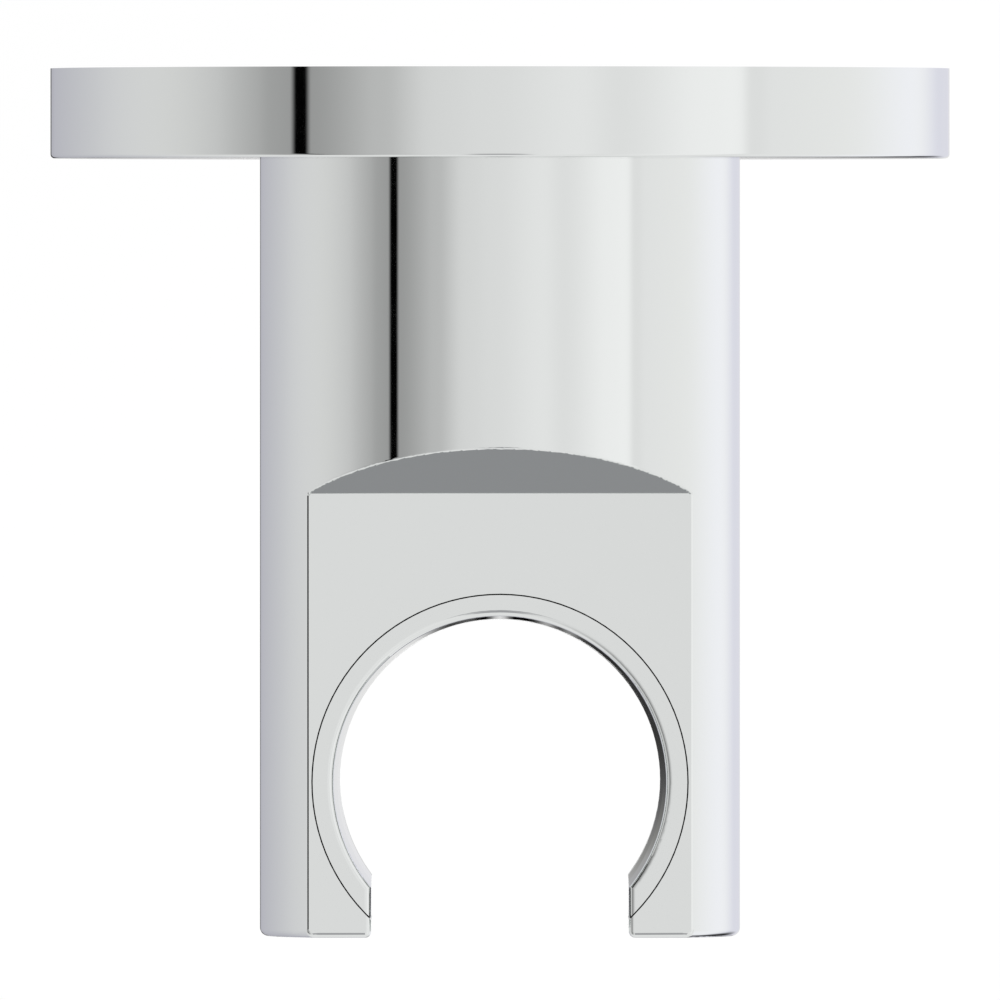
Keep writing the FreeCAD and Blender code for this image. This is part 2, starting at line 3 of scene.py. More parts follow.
import bmesh
import bpy
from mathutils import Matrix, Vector


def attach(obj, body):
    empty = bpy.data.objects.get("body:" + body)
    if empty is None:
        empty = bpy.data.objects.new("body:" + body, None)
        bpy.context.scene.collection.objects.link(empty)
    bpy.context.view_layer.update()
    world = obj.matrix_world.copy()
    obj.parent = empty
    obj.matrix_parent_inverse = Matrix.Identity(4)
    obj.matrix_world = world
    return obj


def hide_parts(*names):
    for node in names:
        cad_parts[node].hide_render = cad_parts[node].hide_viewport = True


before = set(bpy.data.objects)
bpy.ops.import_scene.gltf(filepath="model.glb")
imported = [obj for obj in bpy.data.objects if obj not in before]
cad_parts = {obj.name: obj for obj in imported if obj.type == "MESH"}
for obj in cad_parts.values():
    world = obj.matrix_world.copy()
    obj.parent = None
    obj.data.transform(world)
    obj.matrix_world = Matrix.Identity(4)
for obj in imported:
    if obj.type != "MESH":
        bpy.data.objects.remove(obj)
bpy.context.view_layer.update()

# Wall-mounted holder for a hand shower, seen from straight above.
# +Y runs into the wall, the holder reaches towards -Y, and its socket stands upright along +Z.

MM = 0.001

# Sizes of the turned and milled surfaces, in metres, as the solids have them
BAR_RADIUS = 17.35 * MM
BAR_FRONT = -62.7 * MM
BAR_BACK = -6.5 * MM
POST_HOLE_RADIUS = 10.05 * MM
POST_HOLE_END = -25.0 * MM
HALF_FLAT = 13.88 * MM
FLAT_HEIGHT = math.sqrt(BAR_RADIUS**2 - HALF_FLAT**2)
STEP_FOOT = -30.67 * MM
STEP_LEAN = math.radians(25)
SOCKET_Y = -51.5 * MM
BORE_RADIUS = 13.6 * MM
THROAT_RADIUS = 11.6 * MM
LEDGE_HEIGHT = -8.0 * MM
HALF_SLOT = 9.29 * MM
GRUB_Y = -15.5 * MM
GRUB_HOLE_RADIUS = 2.55 * MM
LINER_RADIUS = 13.5 * MM
MOUTH_RADIUS = 12.0 * MM
LEAD_IN_DEPTH = 5.5 * MM
GRIP_RADIUS = 11.75 * MM
GRIP_TOP = FLAT_HEIGHT - LEAD_IN_DEPTH
FLANGE_RADIUS = 32.5 * MM
FLANGE_FRONT = -6.5 * MM
FLANGE_HOLE_RADIUS = 10.1 * MM
HOLLOW_RADIUS = 29.5 * MM
HOLLOW_FLOOR = -4.5 * MM
SEAL_SEAT_RADIUS = 31.3 * MM
SEAL_SEAT_FLOOR = -1.2 * MM

X_AXIS = Vector((1, 0, 0))
Y_AXIS = Vector((0, 1, 0))
Z_AXIS = Vector((0, 0, 1))
ORIGIN = Vector((0, 0, 0))
SOCKET_AXIS_POINT = Vector((0, SOCKET_Y, 0))
GRUB_AXIS_POINT = Vector((0, GRUB_Y, 0))


# Colour and nodes

def srgb(code):
    """Linear red, green, blue and alpha of a hex colour such as E6E8EA."""
    parts = [int(code[i : i + 2], 16) / 255 for i in (0, 2, 4)]
    linear = [c / 12.92 if c <= 0.04045 else ((c + 0.055) / 1.055) ** 2.4 for c in parts]
    return (*linear, 1.0)


def add_node(tree, kind, inputs=None, **settings):
    """Add a node, set its properties, then link or set its inputs by name or number."""
    node = tree.nodes.new(kind)
    for name, value in settings.items():
        setattr(node, name, value)
    for name, value in (inputs or {}).items():
        if isinstance(value, bpy.types.NodeSocket):
            tree.links.new(value, node.inputs[name])
        else:
            node.inputs[name].default_value = value
    return node


def new_material(name):
    """A material with nothing but its output; returns the material, its tree and the output."""
    material = bpy.data.materials.new(name)
    material.use_nodes = True
    tree = material.node_tree
    tree.nodes.clear()
    output = add_node(tree, "ShaderNodeOutputMaterial")
    return material, tree, output


WHITE = srgb("FFFFFF")


# Surfaces that a polished piece follows. Each tells how far a spot stands off it, and its facing.

def around(point, axis, radius, inside=False):
    """A round wall of this radius about an axis, facing outwards, or inwards when inside."""
    side = -1 if inside else 1

    def measure(spot):
        arm = spot - point
        arm = arm - axis * arm.dot(axis)
        return (arm.length - radius) * side, arm.normalized() * side

    return measure


def flat(point, normal):
    """A flat face through a point."""
    facing = normal.normalized()

    def measure(spot):
        return (spot - point).dot(facing), facing

    return measure


def taper(point, low, low_radius, high, high_radius):
    """The inside of an upright cone between two heights."""
    slope = (high_radius - low_radius) / (high - low)

    def measure(spot):
        arm = spot - point
        height = arm.z
        arm.z = 0
        radius = low_radius + slope * (height - low)
        return radius - arm.length, (-arm.normalized() + Z_AXIS * slope).normalized()

    return measure


# Normals of a polished piece

# A corner this near to a surface lies on it, and corners this near to each other are one
ON_SURFACE = 0.004 * MM
SAME_SPOT = 0.0005 * MM
# Cosine of the widest angle between a facet and the surface that it is part of
FACES_ALIKE = math.cos(math.radians(14))
# The same between a rounding's facet and the surface that it runs into
RUNS_INTO = math.cos(math.radians(32))
# The same between two facets of a rounding that shade as one
SOFT_EDGE = math.cos(math.radians(40))
# Most that a facet of a straight rounding faces along it, which leaves out the rounding's ends
ALONG_EDGE = 0.05
# Share of a tightened rounding at each end that faces as its neighbour does
BEND_STARTS = 0.3
NO_CHAMFER = (0.5, 0.5)


def crisp(face, pair, reach, chamfer=NO_CHAMFER, lean=0.5, whole=True):
    """Facing of a facet in a small rounding that looks like a crisp line between two surfaces.

    The facet lies within reach of both. Between the chamfer's two shares of the bend, its facing
    leans by one amount from the first surface's to the second's. Over the rest it is the nearer
    surface's, where the whole bend is crisp. None for any other facet.
    """
    (off_a, facing_a), (off_b, facing_b) = (surface(face.center) for surface in pair)
    along = facing_a.cross(facing_b).normalized()
    if max(abs(off_a), abs(off_b)) > reach or abs(face.normal.dot(along)) > ALONG_EDGE:
        return None
    share = face.normal.angle(facing_a) / facing_b.angle(facing_a)
    if chamfer[0] < share < chamfer[1]:
        return facing_a.lerp(facing_b, lean).normalized()
    if not whole:
        return None
    return facing_a if share < 0.5 else facing_b


def tightened(spot, pair, reach):
    """Facing of a corner in a rounding between two surfaces, with the bend drawn to its middle.

    The corner lies within reach of both. None for any other corner.
    """
    (off_a, facing_a), (off_b, facing_b) = (surface(spot) for surface in pair)
    if max(abs(off_a), abs(off_b)) > reach:
        return None
    share = (abs(off_a) / (abs(off_a) + abs(off_b)) - BEND_STARTS) / (1 - 2 * BEND_STARTS)
    return facing_a.lerp(facing_b, min(max(share, 0.0), 1.0)).normalized()


def own_surface(face, surfaces, candidates):
    """Number of the surface that a facet is part of, or None for a facet of a rounding."""
    alike = {k: surfaces[k](face.center)[1].dot(face.normal) for k in candidates}
    best = max(alike, key=alike.get, default=None)
    return best if best is not None and alike[best] > FACES_ALIKE else None


def smoothed(face, neighbours):
    """Mean facing, by area, of the facets at a corner that shade as one with this one."""
    mean = Vector((0, 0, 0))
    for other in neighbours:
        if other.normal.dot(face.normal) > SOFT_EDGE:
            mean += other.normal * other.area
    return mean.normalized() if mean.length else face.normal.copy()


def follow_surfaces(mesh, surfaces, crisp_edges, tight_edge):
    """Give every corner the normal of the true surface it lies on.

    The facets of a turned piece then mirror like the smooth surface they stand for, and a small
    rounding runs into its neighbours without a crease. The crisp edges look like lines instead,
    and the tight edge bends more sharply than it does.
    """
    on = []
    for vertex in mesh.vertices:
        measured = enumerate(surface(vertex.co) for surface in surfaces)
        on.append({k: facing for k, (off, facing) in measured if abs(off) < ON_SURFACE})
    owners = []
    for face in mesh.polygons:
        shared = set.intersection(*(set(on[v]) for v in face.vertices))
        owners.append(own_surface(face, surfaces, shared))
    loose = [[] for _ in on]
    owned = [set() for _ in on]
    for face, owner in zip(mesh.polygons, owners):
        for v in face.vertices:
            if owner is None:
                loose[v].append(face)
            else:
                owned[v].add(owner)
    normals = [None] * len(mesh.loops)
    for face, owner in zip(mesh.polygons, owners):
        line = None
        if owner is None:
            line = next(filter(None, (crisp(face, **edge) for edge in crisp_edges)), None)
        for corner in face.loop_indices:
            v = mesh.loops[corner].vertex_index
            if owner is not None:
                normals[corner] = on[v][owner]
                continue
            normals[corner] = line
            if tight_edge and not line and not on[v]:
                normals[corner] = tightened(mesh.vertices[v].co, **tight_edge)
            if normals[corner]:
                continue
            near = [on[v][k] for k in owned[v] if on[v][k].dot(face.normal) > RUNS_INTO]
            normals[corner] = max(near, key=face.normal.dot) if near else smoothed(face, loose[v])
    mesh.normals_split_custom_set([tuple(n) for n in normals])


def dress_copy(node_name, name, surfaces, materials, pick, crisp_edges=(), tight_edge=None):
    """A merged copy of a solid's mesh that stands for it, with true normals and its finishes.

    pick gives the number of a facet's finish.
    """
    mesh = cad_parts[node_name].data.copy()
    mesh.name = name
    mesh.materials.clear()
    for material in materials:
        mesh.materials.append(material)
    work = bmesh.new()
    work.from_mesh(mesh)
    bmesh.ops.remove_doubles(work, verts=work.verts, dist=SAME_SPOT)
    bmesh.ops.dissolve_degenerate(work, edges=work.edges, dist=SAME_SPOT)
    for face in work.faces:
        face.smooth = True
        face.material_index = pick(face)
    work.to_mesh(mesh)
    work.free()
    follow_surfaces(mesh, surfaces, crisp_edges, tight_edge)
    piece = bpy.data.objects.new(name, mesh)
    bpy.context.scene.collection.objects.link(piece)
    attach(piece, "root")
    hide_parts(node_name)


# Finishes

# Nearly all of a noise pattern lies between these, so a range is laid over them
NOISE_LOW = 0.3
NOISE_HIGH = 0.7
# Patches of haze that a buffing wheel leaves
HAZE_PATCH = 4.0 * MM
# The brushed lines are really about 0.05 mm apart, too fine to show, and drawn six times as coarse
BRUSHED_LINES = 0.3 * MM
# The pattern changes this much more slowly along the lines than across them
ALONG_LINES = 0.02
# Skin of moulded rubber, drawn coarser than the mould's blasted walls leave it, to show at all
RUBBER_GRAIN = 0.4 * MM


def polished_chrome(name, colour, smooth, hazy):
    """Bright chrome plating, buffed before plating, from its smoothest to its haziest roughness.

    It mirrors the studio almost sharply; a faint uneven haze keeps it from looking like glass.
    """
    material, tree, output = new_material(name)
    place = add_node(tree, "ShaderNodeTexCoord")
    haze = add_node(
        tree,
        "ShaderNodeTexNoise",
        {"Vector": place.outputs["Object"], "Scale": 1.0 / HAZE_PATCH, "Detail": 3.0},
    )
    rough = add_node(
        tree,
        "ShaderNodeMapRange",
        {
            "Value": haze.outputs["Fac"],
            "From Min": NOISE_LOW,
            "From Max": NOISE_HIGH,
            "To Min": smooth,
            "To Max": hazy,
        },
    )
    metal = add_node(
        tree,
        "ShaderNodeBsdfPrincipled",
        {"Base Color": srgb(colour), "Metallic": 1.0, "Roughness": rough.outputs["Result"]},
    )
    tree.links.new(metal.outputs["BSDF"], output.inputs["Surface"])
    return material


def turned_metal(name, light, dark, roughness, pitch):
    """Metal straight from the lathe: rings as far apart as the tool's feed break up the light."""
    material, tree, output = new_material(name)
    place = add_node(tree, "ShaderNodeTexCoord")
    apart = add_node(tree, "ShaderNodeSeparateXYZ", {"Vector": place.outputs["Object"]})
    square_x, square_z = (
        add_node(tree, "ShaderNodeMath", {0: apart.outputs[axis], 1: 2.0}, operation="POWER")
        for axis in "XZ"
    )
    both = add_node(tree, "ShaderNodeMath", {0: square_x.outputs[0], 1: square_z.outputs[0]})
    arm = add_node(tree, "ShaderNodeMath", {0: both.outputs[0]}, operation="SQRT")
    # Distance from the axis and along it, so that rings show on ends and sides alike
    ring_place = add_node(
        tree, "ShaderNodeCombineXYZ", {"X": arm.outputs[0], "Y": apart.outputs["Y"]}
    )
    rings = add_node(
        tree,
        "ShaderNodeTexNoise",
        {"Vector": ring_place.outputs["Vector"], "Scale": 1.0 / pitch, "Detail": 2.0},
    )
    tone = add_node(
        tree,
        "ShaderNodeMix",
        {"Factor": rings.outputs["Fac"], "A": srgb(dark), "B": srgb(light)},
        data_type="RGBA",
    )
    bump = add_node(
        tree,
        "ShaderNodeBump",
        {"Height": rings.outputs["Fac"], "Strength": 0.25, "Distance": 0.02 * MM},
    )
    metal = add_node(
        tree,
        "ShaderNodeBsdfPrincipled",
        {
            "Base Color": tone.outputs["Result"],
            "Metallic": 1.0,
            "Roughness": roughness,
            "Normal": bump.outputs["Normal"],
        },
    )
    tree.links.new(metal.outputs["BSDF"], output.inputs["Surface"])
    return material


def brushed_sheet(name, light, dark, smooth, rough):
    """Sheet steel, stamped out of a brushed coil: fine straight lines, all one way."""
    material, tree, output = new_material(name)
    place = add_node(tree, "ShaderNodeTexCoord")
    drawn = add_node(
        tree,
        "ShaderNodeMapping",
        {"Vector": place.outputs["Object"], "Scale": (ALONG_LINES, 1.0, 1.0)},
    )
    lines = add_node(
        tree,
        "ShaderNodeTexNoise",
        {
            "Vector": drawn.outputs["Vector"],
            "Scale": 1.0 / BRUSHED_LINES,
            "Detail": 4.0,
            "Roughness": 0.7,
        },
    )
    tone = add_node(
        tree,
        "ShaderNodeMix",
        {"Factor": lines.outputs["Fac"], "A": srgb(dark), "B": srgb(light)},
        data_type="RGBA",
    )
    uneven = add_node(
        tree,
        "ShaderNodeMapRange",
        {
            "Value": lines.outputs["Fac"],
            "From Min": NOISE_LOW,
            "From Max": NOISE_HIGH,
            "To Min": smooth,
            "To Max": rough,
        },
    )
    bump = add_node(
        tree,
        "ShaderNodeBump",
        {"Height": lines.outputs["Fac"], "Strength": 0.3, "Distance": 0.01 * MM},
    )
    metal = add_node(
        tree,
        "ShaderNodeBsdfPrincipled",
        {
            "Base Color": tone.outputs["Result"],
            "Metallic": 1.0,
            "Roughness": uneven.outputs["Result"],
            "Normal": bump.outputs["Normal"],
        },
    )
    tree.links.new(metal.outputs["BSDF"], output.inputs["Surface"])
    return material


def moulded_rubber(name, light, dark, roughness):
    """Moulded rubber: matt black with a fine skin that catches a little light."""
    material, tree, output = new_material(name)
    place = add_node(tree, "ShaderNodeTexCoord")
    grain = add_node(
        tree,
        "ShaderNodeTexNoise",
        {"Vector": place.outputs["Object"], "Scale": 1.0 / RUBBER_GRAIN, "Detail": 3.0},
    )
    tone = add_node(
        tree,
        "ShaderNodeMix",
        {"Factor": grain.outputs["Fac"], "A": srgb(dark), "B": srgb(light)},
        data_type="RGBA",
    )
    bump = add_node(
        tree,
        "ShaderNodeBump",
        {"Height": grain.outputs["Fac"], "Strength": 0.4, "Distance": 0.03 * MM},
    )
    rubber = add_node(
        tree,
        "ShaderNodeBsdfPrincipled",
        {
            "Base Color": tone.outputs["Result"],
            "Roughness": roughness,
            "Normal": bump.outputs["Normal"],
        },
    )
    tree.links.new(rubber.outputs["BSDF"], output.inputs["Surface"])
    return material


# Plating on turned and polished brass: a bright, faintly cool mirror
chrome = polished_chrome("polished_chrome_on_brass", "E6E8E7", smooth=0.02, hazy=0.045)
# Plating on moulded plastic: the same mirror, a little softer
liner_chrome = polished_chrome("polished_chrome_on_plastic", "E6E8E7", smooth=0.03, hazy=0.06)
# Hollows that the plating bath hardly reaches: dull and warm, with the tool's rings
turned_inside = turned_metal(
    "turned_inside_thinly_plated", light="C9C4B8", dark="A9A294", roughness=0.34, pitch=0.35 * MM
)
# Bare sheet: soft grey streaks along its length
plate_steel = brushed_sheet(
    "brushed_stainless_sheet", light="C6C5C2", dark="9C9B98", smooth=0.30, rough=0.46
)
# Bare brass: yellow, with close rings
post_brass = turned_metal(
    "turned_brass", light="D9B878", dark="B08D4C", roughness=0.28, pitch=0.25 * MM
)
# Bought screws: plain grey, with faint rings round them
screw_steel = turned_metal(
    "cold_headed_stainless_steel", light="B2B2B0", dark="8E8E8C", roughness=0.3, pitch=0.3 * MM
)
# Ground pins: brighter than the screws, with the finest rings
pin_steel = turned_metal(
    "ground_steel", light="C4C4C4", dark="A6A6A6", roughness=0.2, pitch=0.2 * MM
)
# The seal: nearly black
seal_rubber = moulded_rubber("moulded_black_rubber", light="2A2A2B", dark="1A1A1B", roughness=0.62)


# The chrome pieces, which stand for their solids

step_facing = Vector((0, -math.cos(STEP_LEAN), math.sin(STEP_LEAN)))
at_flat = Vector((0, STEP_FOOT, FLAT_HEIGHT))

bar = around(ORIGIN, Y_AXIS, BAR_RADIUS)
flat_top = flat(at_flat, Z_AXIS)
step = flat(at_flat, step_facing)
slot_walls = [flat(X_AXIS * HALF_SLOT * side, -X_AXIS * side) for side in (1, -1)]

body_surfaces = [
    bar,
    around(ORIGIN, Y_AXIS, POST_HOLE_RADIUS, inside=True),
    around(SOCKET_AXIS_POINT, Z_AXIS, BORE_RADIUS, inside=True),
    around(SOCKET_AXIS_POINT, Z_AXIS, THROAT_RADIUS, inside=True),
    around(GRUB_AXIS_POINT, Z_AXIS, GRUB_HOLE_RADIUS, inside=True),
    flat_top,
    step,
    flat(Y_AXIS * BAR_FRONT, -Y_AXIS),
    flat(Y_AXIS * BAR_BACK, Y_AXIS),
    flat(Y_AXIS * POST_HOLE_END, Y_AXIS),
    flat(Z_AXIS * LEDGE_HEIGHT, Z_AXIS),
    *slot_walls,
]
flange_surfaces = [
    around(ORIGIN, Y_AXIS, FLANGE_RADIUS),
    around(ORIGIN, Y_AXIS, FLANGE_HOLE_RADIUS, inside=True),
    around(ORIGIN, Y_AXIS, HOLLOW_RADIUS, inside=True),
    around(ORIGIN, Y_AXIS, SEAL_SEAT_RADIUS, inside=True),
    flat(Y_AXIS * FLANGE_FRONT, -Y_AXIS),
    flat(Y_AXIS * HOLLOW_FLOOR, Y_AXIS),
    flat(Y_AXIS * SEAL_SEAT_FLOOR, Y_AXIS),
    flat(ORIGIN, Y_AXIS),
]
liner_surfaces = [
    around(SOCKET_AXIS_POINT, Z_AXIS, LINER_RADIUS),
    taper(SOCKET_AXIS_POINT, LEDGE_HEIGHT, THROAT_RADIUS, GRIP_TOP, GRIP_RADIUS),
    taper(SOCKET_AXIS_POINT, GRIP_TOP, GRIP_RADIUS, FLAT_HEIGHT, MOUTH_RADIUS),
    flat_top,
    flat(Z_AXIS * LEDGE_HEIGHT, -Z_AXIS),
    *slot_walls,
]

# A facet is part of the body's turned hole where its middle is no further than this outside it
HOLE_MARGIN = 1.0 * MM
# In the flange it is part of the hollow where its middle is at least this far behind the front
# face and this far inside the rim
FRONT_MARGIN = 0.5 * MM
RIM_MARGIN = 0.2 * MM


def inside_post_hole(face):
    """1 for the turned hole that takes the post, 0 for what is polished."""
    centre = face.calc_center_median()
    in_depth = centre.y > POST_HOLE_END - HOLE_MARGIN
    return int(in_depth and math.hypot(centre.x, centre.z) < POST_HOLE_RADIUS + HOLE_MARGIN)


def inside_flange(face):
    """1 for the hollow behind the flange, 0 for what is polished."""
    centre = face.calc_center_median()
    behind = centre.y > FLANGE_FRONT + FRONT_MARGIN
    return int(behind and math.hypot(centre.x, centre.z) < FLANGE_RADIUS - RIM_MARGIN)


def all_polished(face):
    """0 for every facet of a piece with one finish."""
    return 0


def slot_edges(start, lean):
    """The slot's upper edges, dark from this share of their bend on.

    There they mirror the wall across, a little below level, which mirrors them again and again.
    """
    chamfer = (start, 1.0)
    return [
        dict(pair=(flat_top, wall), reach=0.35 * MM, chamfer=chamfer, lean=lean, whole=False)
        for wall in slot_walls
    ]


# The step's foot looks sharp, and the flat's long edges look like a narrow chamfer
step_foot = dict(pair=(flat_top, step), reach=0.3 * MM)
long_edges = dict(pair=(flat_top, bar), reach=0.2 * MM, chamfer=(0.3, 0.6))
# The step's upper edge, an arc, looks tighter than its rounding
step_arc = dict(pair=(bar, step), reach=0.26 * MM)

dress_copy(
    "holder_body",
    "polished_body",
    body_surfaces,
    [chrome, turned_inside],
    inside_post_hole,
    [step_foot, long_edges, *slot_edges(start=0.5, lean=0.58)],
    step_arc,
)
dress_copy(
    "escutcheon",
    "polished_flange",
    flange_surfaces,
    [chrome, turned_inside],
    inside_flange,
)
dress_copy(
    "socket_liner",
    "polished_liner",
    liner_surfaces,
    [liner_chrome],
    all_polished,
    slot_edges(start=0.6, lean=0.54),
)

# The hidden pieces keep their solids' meshes

for node_name, material in (
    ("wall_plate", plate_steel),
    ("mounting_post", post_brass),
    ("post_screw", screw_steel),
    ("grub_screw", screw_steel),
    ("locating_pins", pin_steel),
    ("wall_seal", seal_rubber),
):
    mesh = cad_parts[node_name].data
    mesh.materials.clear()
    mesh.materials.append(material)

# The studio that the chrome mirrors. Angles are degrees round the holder's long axis: 0 is
# straight up, positive to the right. Each row is an angle and a brightness.

STUDIO = (
    (-180, 0.58),  # floor under the holder
    (-174, 0.47),  # floor, left, close beside the holder
    (-164, 0.52),  # floor, left, in the holder's own shade
    (-128, 0.69),  # floor, left
    (-99, 0.79),  # left panel, lit along its lower edge
    (-77, 0.66),  # left panel fading upwards
    (-64, 0.475),  # left panel's upper end
    (-58, 0.41),  # gap beside the dark flag
    (-47, 0.40),  # gap on the other side of the flag
    (-35, 0.55),  # ceiling sweep begins
    (-27, 0.62),  # ceiling sweep
    (-20, 0.77),  # ceiling sweep, brighter
    (-9, 0.835),  # overhead panel, left part
    (4, 0.875),  # overhead panel
    (20, 0.94),  # overhead panel, right part
    (32, 0.895),  # seam between two panels
    (47, 1.0),  # right panel
    (58, 1.04),  # right panel, brightest
    (64.5, 1.03),  # right panel up to its fold
    (67.5, 0.90),  # right panel behind the fold
    (74, 0.925),  # right panel, lower part
    (105, 0.98),  # right panel near the floor
    (128, 1.045),  # floor, right, lit
    (140, 1.0),  # floor, right, edge of the light
    (151, 0.84),  # floor, right, near the holder
    (164, 0.78),  # floor, right, in the holder's own shade
    (174, 0.74),  # floor, right, close beside the holder
    (180, 0.58),  # floor under the holder
)
# Dark flag between the left panel and the ceiling sweep, in degrees, and its brightness
FLAG_ANGLE = -52.45
FLAG_HALF_WIDTH = 2.2
FLAG_SOFTNESS = 1.9
FLAG_BRIGHTNESS = 0.002
# Brightest that a row can be
BRIGHTEST = 1.25
# Degrees beyond which a row is tinted, and how much stronger its blue is
BLUE_TINTS = ((150, 1.10), (115, 1.04))

# What the bore's gripping cone mirrors, close round straight down. Degrees from the front,
# positive to the right, and brightness.
CLOSE_UNDER = (
    (-180, 0.72),  # behind
    (-112, 0.38),  # behind on the left, where the shade begins
    (-85, 0.16),  # left, in the shade
    (-60, 0.055),  # front left, in deep shade
    (-30, 0.036),  # dark stand
    (-12, 0.07),  # dark stand's edge
    (-3, 0.18),  # front, where the shade ends
    (3, 0.45),  # front, where the light begins
    (12, 0.70),  # front right, lit
    (45, 0.79),  # right, brightest
    (120, 0.78),  # behind on the right
    (180, 0.72),  # behind
)
# What its lead-in mirrors, a little further out: a dark stand on the left with narrow gaps in it
# and one bright gap in front
ROUND_UNDER = (
    (-180, 0.72),  # behind
    (-112, 0.34),  # behind on the left, where the shade begins
    (-85, 0.09),  # left, in the shade
    (-45, 0.033),  # dark stand
    (-26, 0.06),  # dark stand up to its first gap
    (-22, 0.26),  # first gap
    (-18, 0.08),  # between the gaps
    (-14.5, 0.37),  # second gap
    (-11, 0.06),  # dark stand past its gaps
    (-3.5, 0.01),  # dark stand's edge
    (0, 0.75),  # bright gap in front
    (3.5, 0.015),  # dark post
    (9, 0.09),  # front right, in the post's shade
    (18, 0.12),  # front right, where the shade ends
    (26, 0.70),  # front right, lit
    (45, 0.79),  # right, brightest
    (120, 0.78),  # behind on the right
    (180, 0.72),  # behind
)
STRAIGHT_DOWN = (0, 0, -1)
# Both, from the outside in, with the degrees off straight down to where each is full and ends
LAID_UNDER = ((ROUND_UNDER, 7.0, 9.0), (CLOSE_UNDER, 2.8, 3.3))

# Soft patches: direction, degrees to where each is full and where it ends, brightness, and how
# much stronger blue is
FAR_PATCHES = (
    # Room in front, level with the holder
    ((0, -1, -0.1), 25, 62, 0.90, 1.0),
    # Room behind
    ((0, 1, 0.1), 12, 45, 0.62, 1.0),
    # Narrow dark beam under the ceiling, from overhead towards the front
    ((0, -0.37, 0.93), 4, 8, 0.385, 1.04),
    ((0, -0.58, 0.81), 5, 9, 0.385, 1.04),
    ((0, -0.75, 0.66), 5, 9, 0.385, 1.04),
    # Dark foot of a lamp stand, low in front on the right
    ((0.24, -0.44, -0.87), 7, 20, 0.02, 1.0),
    # Dark doorway behind on the left
    ((-0.76, 0.58, 0.22), 9, 16, 0.02, 1.0),
)
UNDER_PATCHES = (
    # Floor straight below, which the slot's walls mirror
    (STRAIGHT_DOWN, 0.8, 0.88, 0.62, 1.0),
    # One bright spot on it, just in front of straight down
    ((0, -0.0137, -1), 0.42, 0.55, 1.2, 1.0),
)


def tinted(bright, blue):
    """A grey of this brightness, with its blue this much stronger."""
    return (bright, bright, bright * blue, 1)


def blue_at(degrees):
    """How much stronger blue is at an angle. The floor, far below and behind, is slightly blue."""
    return next((blue for start, blue in BLUE_TINTS if abs(degrees) > start), 1.0)


def ramp_by_angle(tree, across, along, rows):
    """The angle that two parts of a direction make, and the light that the rows give it."""
    angle = add_node(tree, "ShaderNodeMath", {0: across, 1: along}, operation="ARCTAN2")
    turn = add_node(
        tree,
        "ShaderNodeMath",
        {0: angle.outputs[0], 1: 1 / (2 * math.pi), 2: 0.5},
        operation="MULTIPLY_ADD",
    )
    ramp = add_node(tree, "ShaderNodeValToRGB", {"Fac": turn.outputs[0]})
    ramp.color_ramp.interpolation = "CARDINAL"
    stops = ramp.color_ramp.elements
    while len(stops) > 1:
        stops.remove(stops[-1])
    for number, (degrees, bright) in enumerate(rows):
        share = (degrees + 180) / 360
        stop = stops[0] if number == 0 else stops.new(share)
        stop.position = share
        stop.color = tinted(bright / BRIGHTEST, blue_at(degrees))
    lit = add_node(
        tree,
        "ShaderNodeVectorMath",
        {0: ramp.outputs["Color"], "Scale": BRIGHTEST},
        operation="SCALE",
    )
    return angle.outputs[0], lit.outputs["Vector"]


def lay_patch(tree, direction, below, towards, full, end, patch):
    """Lay a patch over a colour: full up to one angle from a direction, gone at another."""
    nearness = add_node(
        tree,
        "ShaderNodeVectorMath",
        {0: direction, 1: Vector(towards).normalized()},
        operation="DOT_PRODUCT",
    )
    tilt = add_node(tree, "ShaderNodeMath", {0: nearness.outputs["Value"]}, operation="ARCCOSINE")
    share = add_node(
        tree,
        "ShaderNodeMapRange",
        {
            "Value": tilt.outputs[0],
            "From Min": math.radians(full),
            "From Max": math.radians(end),
            "To Min": 1.0,
            "To Max": 0.0,
        },
        interpolation_type="SMOOTHSTEP",
    )
    mixed = add_node(
        tree,
        "ShaderNodeMix",
        {"Factor": share.outputs["Result"], "A": below, "B": patch},
        data_type="RGBA",
    )
    return mixed.outputs["Result"]


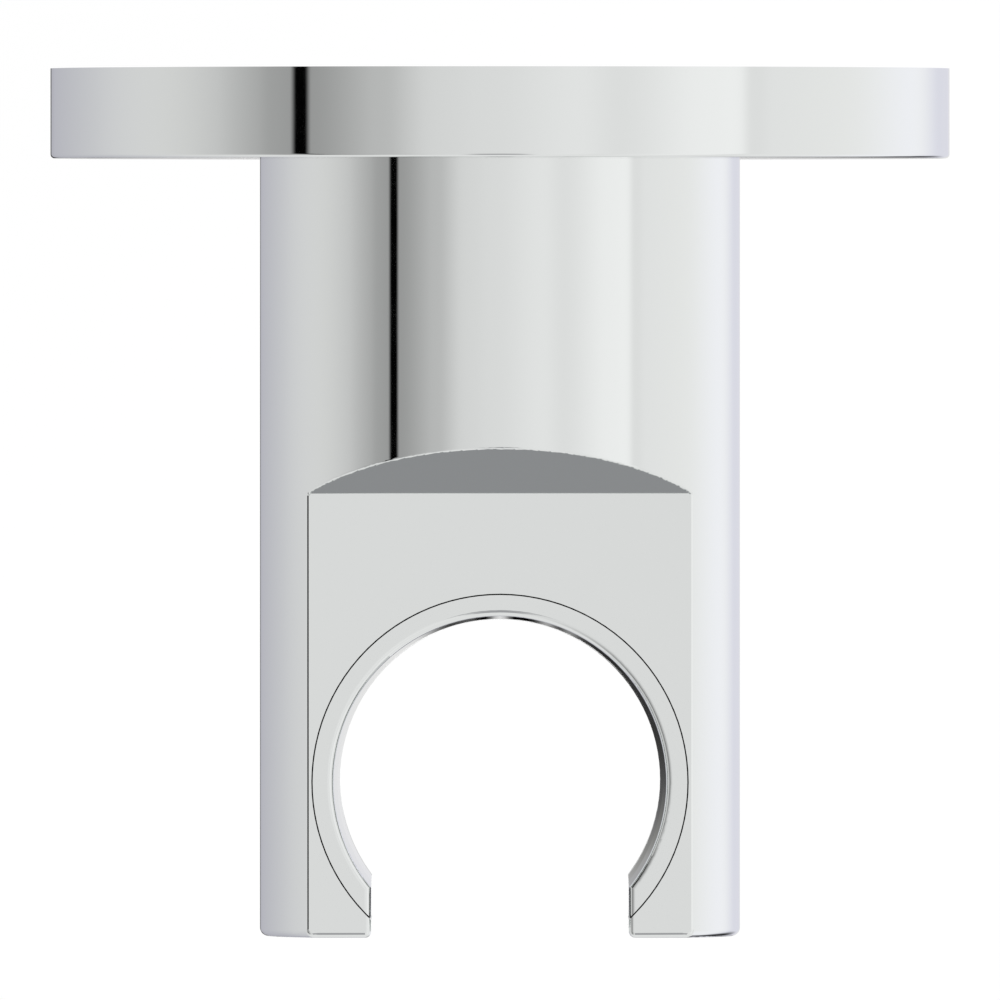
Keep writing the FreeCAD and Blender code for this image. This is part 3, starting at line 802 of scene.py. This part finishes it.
def studio_world():
    """White to the eye, and to the chrome a ring of soft panels with one dark flag."""
    world = bpy.data.worlds.new("soft_studio")
    world.use_nodes = True
    tree = world.node_tree
    tree.nodes.clear()
    place = add_node(tree, "ShaderNodeTexCoord")
    direction = place.outputs["Generated"]
    apart = add_node(tree, "ShaderNodeSeparateXYZ", {"Vector": direction})
    right, back, up = (apart.outputs[axis] for axis in "XYZ")
    front = add_node(tree, "ShaderNodeMath", {0: back, 1: -1.0}, operation="MULTIPLY")
    angle, ring = ramp_by_angle(tree, right, up, STUDIO)
    # The flag takes the light away near its own angle
    off = add_node(
        tree, "ShaderNodeMath", {0: angle, 1: math.radians(FLAG_ANGLE)}, operation="SUBTRACT"
    )
    away = add_node(tree, "ShaderNodeMath", {0: off.outputs[0]}, operation="ABSOLUTE")
    flag = add_node(
        tree,
        "ShaderNodeMapRange",
        {
            "Value": away.outputs[0],
            "From Min": math.radians(FLAG_HALF_WIDTH - FLAG_SOFTNESS / 2),
            "From Max": math.radians(FLAG_HALF_WIDTH + FLAG_SOFTNESS / 2),
            "To Min": FLAG_BRIGHTNESS,
            "To Max": 1.0,
        },
        interpolation_type="SMOOTHSTEP",
    )
    lit = add_node(
        tree, "ShaderNodeVectorMath", {0: ring, "Scale": flag.outputs["Result"]}, operation="SCALE"
    )
    colour = lit.outputs["Vector"]
    for towards, full, end, bright, blue in FAR_PATCHES:
        colour = lay_patch(tree, direction, colour, towards, full, end, tinted(bright, blue))
    for rows, full, end in LAID_UNDER:
        _, under = ramp_by_angle(tree, right, front.outputs[0], rows)
        colour = lay_patch(tree, direction, colour, STRAIGHT_DOWN, full, end, under)
    for towards, full, end, bright, blue in UNDER_PATCHES:
        colour = lay_patch(tree, direction, colour, towards, full, end, tinted(bright, blue))
    studio = add_node(tree, "ShaderNodeBackground", {"Color": colour, "Strength": 1.0})
    white = add_node(tree, "ShaderNodeBackground", {"Color": WHITE, "Strength": 1.0})
    path = add_node(tree, "ShaderNodeLightPath")
    seen = add_node(
        tree,
        "ShaderNodeMixShader",
        {"Fac": path.outputs["Is Camera Ray"], 1: studio.outputs[0], 2: white.outputs[0]},
    )
    add_node(tree, "ShaderNodeOutputWorld", {"Surface": seen.outputs[0]})
    bpy.context.scene.world = world


studio_world()

# Floor and lamp

FLOOR_HEIGHT = -0.25
FLOOR_SIZE = 6.0
# Share of plain white in what the camera sees of the floor. The rest is paper, which takes shadows.
FLOOR_GLOW = 0.8

LAMP_PLACE = Vector((0.25, -0.35, 0.9))
LAMP_SIZE = 0.8
LAMP_WATTS = 6.0


def pale_floor():
    """A wide floor of matt white paper, well below the holder. It stays out of the chrome."""
    work = bmesh.new()
    bmesh.ops.create_grid(work, x_segments=1, y_segments=1, size=FLOOR_SIZE / 2)
    bmesh.ops.translate(work, verts=work.verts, vec=(0, 0, FLOOR_HEIGHT))
    mesh = bpy.data.meshes.new("studio_floor")
    work.to_mesh(mesh)
    work.free()
    material, tree, output = new_material("matt_white_paper")
    paper = add_node(tree, "ShaderNodeBsdfDiffuse", {"Color": srgb("F9F9F9")})
    glow = add_node(tree, "ShaderNodeEmission", {"Color": WHITE, "Strength": 1.0})
    path = add_node(tree, "ShaderNodeLightPath")
    share = add_node(
        tree,
        "ShaderNodeMath",
        {0: path.outputs["Is Camera Ray"], 1: FLOOR_GLOW},
        operation="MULTIPLY",
    )
    mixed = add_node(
        tree,
        "ShaderNodeMixShader",
        {"Fac": share.outputs[0], 1: paper.outputs[0], 2: glow.outputs[0]},
    )
    tree.links.new(mixed.outputs[0], output.inputs["Surface"])
    mesh.materials.append(material)
    floor = bpy.data.objects.new("studio_floor", mesh)
    bpy.context.scene.collection.objects.link(floor)
    floor.visible_glossy = False


def soft_lamp():
    """A wide round lamp above, aimed at the holder. It stays out of the chrome too."""
    data = bpy.data.lights.new("soft_lamp", "AREA")
    data.shape = "DISK"
    data.size = LAMP_SIZE
    data.energy = LAMP_WATTS
    lamp = bpy.data.objects.new("soft_lamp", data)
    lamp.location = LAMP_PLACE
    lamp.rotation_euler = (ORIGIN - LAMP_PLACE).to_track_quat("-Z", "Y").to_euler()
    lamp.visible_glossy = False
    bpy.context.scene.collection.objects.link(lamp)


pale_floor()
soft_lamp()

# Camera: straight above, far away with a long lens, as good as parallel

PICTURE_WIDTH = 72.3 * MM
PICTURE_CENTRE_Y = -31.2 * MM
CAMERA_Y = -16 * MM
LENS = 1600.0
SENSOR = 36.0

height = PICTURE_WIDTH * LENS / SENSOR
camera_data = bpy.data.cameras.new("camera")
camera_data.lens = LENS
camera_data.sensor_width = SENSOR
camera_data.clip_start = 0.1
camera_data.clip_end = 10.0
camera = bpy.data.objects.new("camera", camera_data)
camera.location = (0, CAMERA_Y, height)
camera.rotation_euler = (math.atan2(PICTURE_CENTRE_Y - CAMERA_Y, height), 0, 0)
bpy.context.scene.collection.objects.link(camera)
bpy.context.scene.camera = camera
bpy.context.scene.view_settings.view_transform = "Standard"
